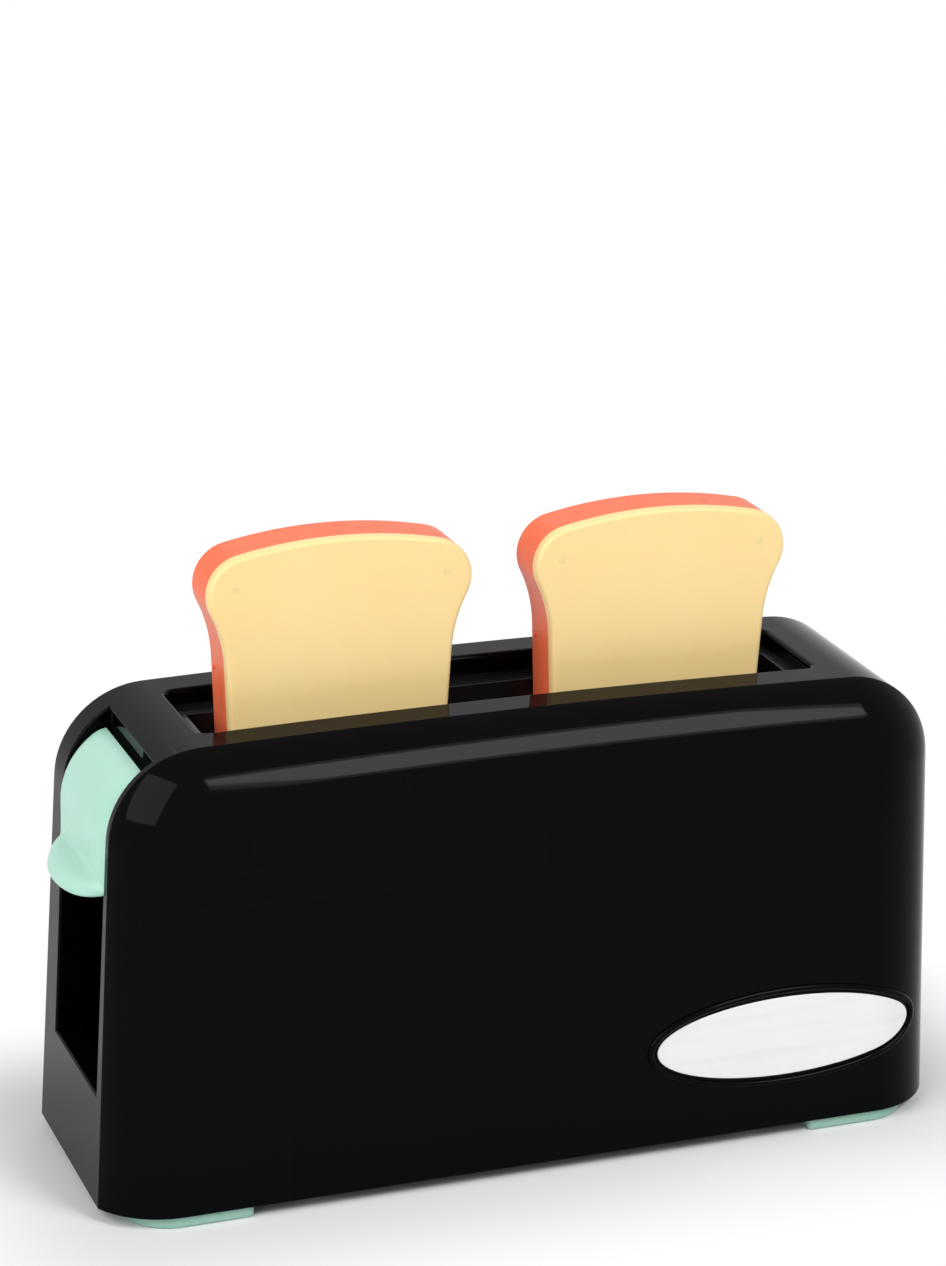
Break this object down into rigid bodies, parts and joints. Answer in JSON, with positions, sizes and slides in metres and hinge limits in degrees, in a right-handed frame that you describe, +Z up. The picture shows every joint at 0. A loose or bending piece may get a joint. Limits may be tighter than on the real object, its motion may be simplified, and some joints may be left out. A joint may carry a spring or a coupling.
{
  "type": "toy toaster",
  "caption": "Toy pop-up toaster with a glossy rounded housing, a sprung lever carriage on guide rods, an oval badge, corner feet and bread slices.",
  "frame": {"origin": "on the floor, under the middle of the housing's lower rim", "axes": "+Z up; +X along the length, away from the lever; +Y from the front face to the back face"},
  "size_m": [0.202, 0.0687, 0.146],
  "materials": {
    "gloss_black": "high-gloss moulded plastic",
    "inner_black": "semi-gloss moulded plastic",
    "mint": "satin moulded plastic",
    "badge_white": "satin moulded plastic",
    "zinc_steel": "zinc-plated steel",
    "spring_steel": "drawn spring wire",
    "crust": "satin moulded plastic",
    "crumb": "satin moulded plastic"
  },
  "bodies": {
    "housing": {"housing_shell": "gloss_black", "badge_plate": "badge_white", "toast_guide": "inner_black", "base_plate": "inner_black", "foot_front_left": "mint", "foot_front_right": "mint", "foot_rear_left": "mint", "foot_rear_right": "mint", "base_screws": "zinc_steel", "guide_screws": "zinc_steel", "guide_rod_left": "zinc_steel", "guide_rod_right": "zinc_steel", "return_spring_left": "spring_steel", "return_spring_right": "spring_steel"},
    "carriage": {"carriage_frame": "inner_black", "lever_cover": "mint"},
    "slice_left": {"toast_crust_left": "crust", "toast_crumb_left": "crumb"},
    "slice_right": {"toast_crust_right": "crust", "toast_crumb_right": "crumb"}
  },
  "joints": [
    {"name": "carriage_slide", "type": "slide", "parent": "housing", "child": "carriage", "axis": [0, 0, 1], "range_m": [-0.04, 0], "stiffness_N_per_m": 80, "springref_m": 0.025, "deforming": ["return_spring_left", "return_spring_right"]},
    {"name": "slice_left_lift", "type": "slide", "parent": "carriage", "child": "slice_left", "axis": [0, 0, 1], "range_m": [0, 0.11]},
    {"name": "slice_right_lift", "type": "slide", "parent": "carriage", "child": "slice_right", "axis": [0, 0, 1], "range_m": [0, 0.11]}
  ]
}
